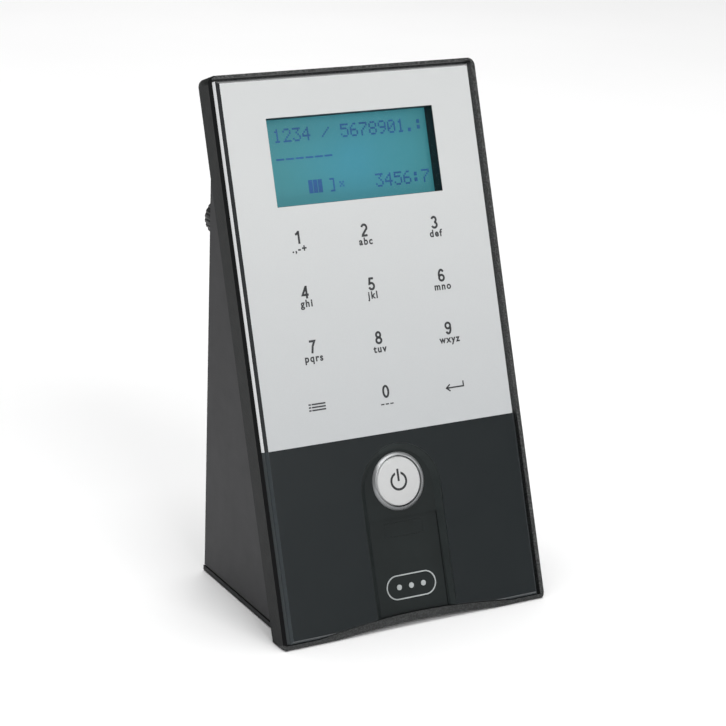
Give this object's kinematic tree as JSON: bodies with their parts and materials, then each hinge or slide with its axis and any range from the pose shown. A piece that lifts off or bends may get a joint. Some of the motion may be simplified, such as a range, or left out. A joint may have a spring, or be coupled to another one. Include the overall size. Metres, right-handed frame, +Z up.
{
  "type": "fingerprint scanner terminal",
  "caption": "Slim keypad terminal with display, touch keys, power button and finger channel, leaning back on a hollow wedge stand with a battery door and clamp knobs.",
  "frame": {"origin": "middle of the overall footprint, on the surface that the rubber feet stand on", "axes": "+Z up, the keypad's face looks towards -Y and leans back 20 degrees, +X to the right of someone in front of it"},
  "size_m": [0.0978, 0.0762, 0.1705],
  "materials": {
    "housing_plastic": "fine textured black ABS",
    "clear_acrylic": "clear acrylic with polished, chamfered edges",
    "silver_ink": "silver back print",
    "dark_ink": "near-black back print",
    "foam_tape": "double-sided foam tape",
    "guide_plastic": "smooth near-black plastic",
    "sensor_glass": "polished sensor window",
    "polyimide": "amber flexible circuit",
    "circuit_board": "green solder mask",
    "chip_plastic": "moulded chip package",
    "display_teal": "lit teal liquid crystal display",
    "light_guide": "white diffuser",
    "copper": "copper touch electrodes",
    "screen_can": "tinned steel can",
    "nylon_natural": "natural nylon connector",
    "zinc_steel": "zinc plated steel",
    "satin_silver": "bright bevelled ring",
    "button_silver": "satin pearl silver",
    "symbol_ink": "dark grey inlay",
    "print_grey": "light grey print",
    "stand_plastic": "smooth black ABS",
    "rubber_black": "black rubber",
    "cell_sleeve": "plain printed cell sleeve",
    "spring_steel": "nickel plated spring steel",
    "lead_pvc": "red PVC sheath",
    "insert_brass": "brass",
    "knob_plastic": "ribbed black plastic"
  },
  "bodies": {
    "terminal": {"housing": "housing_plastic", "front_plate": "clear_acrylic", "silver_print": "silver_ink", "dark_print": "dark_ink", "plate_tape": "foam_tape", "finger_guide": "guide_plastic", "fingerprint_sensor": "sensor_glass", "sensor_flex": "polyimide", "sensor_board": "circuit_board", "sensor_chip": "chip_plastic", "display_frame": "guide_plastic", "display_glass": "display_teal", "backlight": "light_guide", "display_flex": "polyimide", "touch_board": "circuit_board", "touch_electrodes": "copper", "main_chip": "chip_plastic", "radio_module": "screen_can", "buzzer": "chip_plastic", "lead_socket": "nylon_natural", "lead_plug": "nylon_natural", "board_screws": "zinc_steel", "board_ribbon": "polyimide", "button_ring": "satin_silver", "tact_switch": "screen_can", "badge": "print_grey", "stand_shell": "stand_plastic", "base_plate": "stand_plastic", "base_screws": "zinc_steel", "rubber_feet": "rubber_black", "battery_holder": "stand_plastic", "batteries": "cell_sleeve", "battery_springs": "spring_steel", "battery_contacts": "spring_steel", "power_lead": "lead_pvc", "hinge_pin": "spring_steel", "threaded_inserts": "insert_brass", "knob_washers": "zinc_steel"},
    "button": {"power_button": "button_silver", "button_symbol": "symbol_ink", "switch_plunger": "chip_plastic"},
    "door": {"battery_door": "stand_plastic"},
    "knob_left": {"knob_left": "knob_plastic"},
    "knob_right": {"knob_right": "knob_plastic"}
  },
  "joints": [
    {"name": "power_press", "type": "slide", "parent": "terminal", "child": "button", "axis": [0, 0.9397, -0.342], "range_m": [0, 0.0006], "stiffness_N_per_m": 2500},
    {"name": "battery_door_hinge", "type": "hinge", "parent": "terminal", "child": "door", "pos_m": [0, 0.0273, 0.011], "axis": [-1, 0, 0], "range_deg": [0, 90]},
    {"name": "knob_left_turn", "type": "hinge", "parent": "terminal", "child": "knob_left", "pos_m": [-0.0356, 0.0289, 0.121], "axis": [0, 1, 0], "continuous": true},
    {"name": "knob_right_turn", "type": "hinge", "parent": "terminal", "child": "knob_right", "pos_m": [0.0356, 0.0289, 0.121], "axis": [0, 1, 0], "continuous": true}
  ]
}
